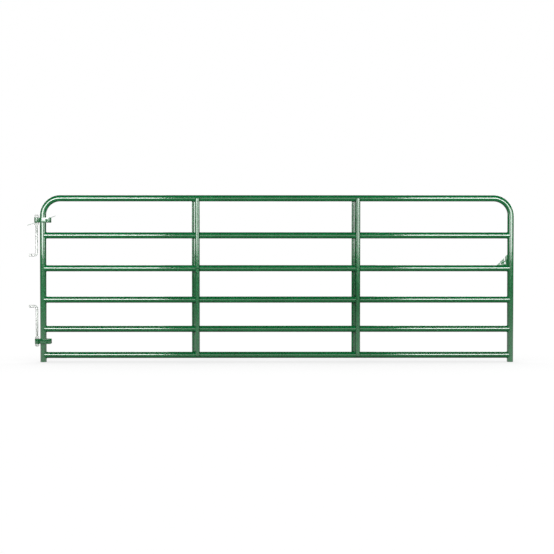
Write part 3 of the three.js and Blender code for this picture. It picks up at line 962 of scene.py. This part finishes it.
def tie_wire():
    """A thin wire along a smooth curve through five points behind the upper hinge: between two of
    them, the cubic whose slope at each is half the step from the point before to the one after."""
    last = len(WIRE_PLAN) - 1
    at = np.linspace(0, last, WIRE_STEPS)
    index = np.minimum(at.astype(int), last - 1)
    t = (at - index)[:, None]
    before = WIRE_PLAN[np.maximum(index - 1, 0)]
    start, end = WIRE_PLAN[index], WIRE_PLAN[index + 1]
    after = WIRE_PLAN[np.minimum(index + 2, last)]
    smooth = 0.5 * (
        2 * start + (end - before) * t
        + (2 * before - 5 * start + 4 * end - after) * t**2
        + (3 * start - before - 3 * end + after) * t**3
    )
    behind = TUBE_Y + TUBE_R + GAP + STRAP_THICK + GAP + WIRE_R
    z = middle("upper_hinge_strap")[2] + WIRE_LIFT + WIRE_SLOPE * smooth[:, 0]
    path = line_of(len(at), HINGE_LEG_X + smooth[:, 0], behind + smooth[:, 1], z)
    return capped("tie_wire_painted", [along_path(path, circle(WIRE_R, WIRE_SIDES), ALONG_Z)])


finish_piece(tie_wire(), bolt_coat, "gate_leaf", GREEN, "tie_wire")

# ---- Camera, lights and floor ----

CAMERA_PLACE = (0.0007, -9.5, 0.8836)
CAMERA_DOWN = 1.424
CAMERA_ASIDE = 0.297

scene = bpy.context.scene
camera = bpy.data.cameras.new("camera")
camera.lens = 81.0
camera.sensor_width = 36
camera_stand = link("camera", camera)
camera_stand.location = CAMERA_PLACE
camera_stand.rotation_euler = (math.radians(90 - CAMERA_DOWN), 0, math.radians(-CAMERA_ASIDE))
scene.camera = camera_stand

scene.view_settings.view_transform = "Standard"
scene.view_settings.look = "None"


def softbox(name, centre, target, width, height, strength, spread=180, glossy=True):
    """A large soft light at centre, turned to face target, that shines within spread degrees."""
    lamp = bpy.data.lights.new(name, "AREA")
    lamp.shape = "RECTANGLE"
    lamp.size, lamp.size_y = width, height
    lamp.energy = strength * width * height * math.pi
    lamp.spread = math.radians(spread)
    stand = link(name, lamp)
    stand.location = centre
    aim = np.array(target, float) - np.array(centre, float)
    yaw = math.atan2(aim[0], -aim[1])
    pitch = math.atan2(-aim[2], math.hypot(aim[0], aim[1]))
    stand.rotation_euler = (math.pi / 2 - pitch, 0, yaw + math.pi)
    stand.visible_camera = False
    stand.visible_glossy = glossy


# The legs and braces mirror the side boxes, and the rails mirror the two that stand higher.
softbox("left_softbox", (-3.3, -4.3, 1.65), (-2.7, 0, 1.65), 4.2, 1.7, 2.9, 110)
softbox("right_softbox", (2.95, -4.3, 1.65), (2.4, 0, 1.65), 2.9, 1.7, 2.4, 110)
softbox("far_right_softbox", (5.7, -4.1, 1.65), (1.83, 0, 1.65), 2.0, 1.7, 2.5, 110)
softbox("left_rail_softbox", (-2.05, -4.3, 1.95), (-1.8, 0, 1.2), 1.7, 1.1, 3.2, 110)
softbox("right_rail_softbox", (2.2, -4.3, 1.95), (1.9, 0, 1.2), 1.5, 1.1, 3.6, 110)
softbox("front_fill", (0.0, -12.0, 2.42), (0, 0, 0.9), 9.0, 3.6, 1.6)
softbox("left_back_softbox", (-3.3, 4.6, 2.0), (-2.3, 0, 0.9), 4.2, 1.5, 1.5, 110)
softbox("right_back_softbox", (3.3, 4.6, 2.0), (2.3, 0, 0.9), 4.2, 1.5, 1.5, 110)
softbox("back_fill", (0.0, 7.0, 2.2), (0, 0, 0.7), 9.0, 3.0, 2.2, glossy=False)

# The room is white to the camera and gives the paint a low even light. What is mirrored of it is
# dark above, and brightest just under the horizon, where the lit floor would be.
STEEPEST, HIGHEST = -0.6, 0.1
FLOOR_GLOW = (
    (0.0, 0.20), (0.45, 0.30), (0.69, 1.2), (0.755, 1.2), (0.785, 0.28), (0.84, 0.20), (0.90, 0.02)
)
world = bpy.data.worlds.new("studio")
scene.world = world
world.use_nodes = True
room = Nodes(world.node_tree)
backdrop = room.add("ShaderNodeBackground", Color=(1, 1, 1, 1), Strength=1.0)
ambient = room.add("ShaderNodeBackground", Color=(0.93, 0.96, 1.0, 1), Strength=0.10)
mirrored = room.add("ShaderNodeBackground")
direction = room.add("ShaderNodeTexCoord")
parts = room.add("ShaderNodeSeparateXYZ")
slope = room.add("ShaderNodeMapRange", From_Min=STEEPEST, From_Max=HIGHEST)
ray = room.add("ShaderNodeLightPath")
on_gloss = room.add("ShaderNodeMixShader")
seen = room.add("ShaderNodeMixShader")
for start, end in (
    (direction.outputs["Generated"], parts.inputs["Vector"]),
    (parts.outputs["Z"], slope.inputs["Value"]),
    (room.ramp(slope.outputs["Result"], *FLOOR_GLOW), mirrored.inputs["Strength"]),
    (ray.outputs["Is Glossy Ray"], on_gloss.inputs["Fac"]),
    (ambient.outputs["Background"], on_gloss.inputs[1]),
    (mirrored.outputs["Background"], on_gloss.inputs[2]),
    (ray.outputs["Is Camera Ray"], seen.inputs["Fac"]),
    (on_gloss.outputs["Shader"], seen.inputs[1]),
    (backdrop.outputs["Background"], seen.inputs[2]),
    (seen.outputs["Shader"], world.node_tree.nodes["World Output"].inputs["Surface"]),
):
    room.links.new(start, end)

REACH = 60.0
floor_corners = [(-REACH, -REACH, 0), (REACH, -REACH, 0), (REACH, REACH, 0), (-REACH, REACH, 0)]
floor_mesh = bpy.data.meshes.new("floor")
floor_mesh.from_pydata(floor_corners, [], [(0, 1, 2, 3)])
floor = link("floor", floor_mesh)
floor.visible_diffuse = False
floor.visible_glossy = False
floor_paint = Finish("pale_floor")
# The floor glows evenly white, and ambient occlusion dims that glow under and round the gate: a
# painted contact shadow.
near = floor_paint.add("ShaderNodeAmbientOcclusion", Distance=1.2)
near.samples = 12
painted_contact_shadow = floor_paint.ramp(near.outputs["AO"], (0.55, 0.80), (0.985, 1.0))
tone = floor_paint.ramp(floor_paint.noise(0.7), (0.3, 0.010), (0.7, 0.014))
floor_paint.set(Base_Color=tone, Roughness=1.0, Specular_IOR_Level=0.0)
floor_paint.set(Emission_Color=painted_contact_shadow, Emission_Strength=1.0)
floor_mesh.materials.append(floor_paint.material)
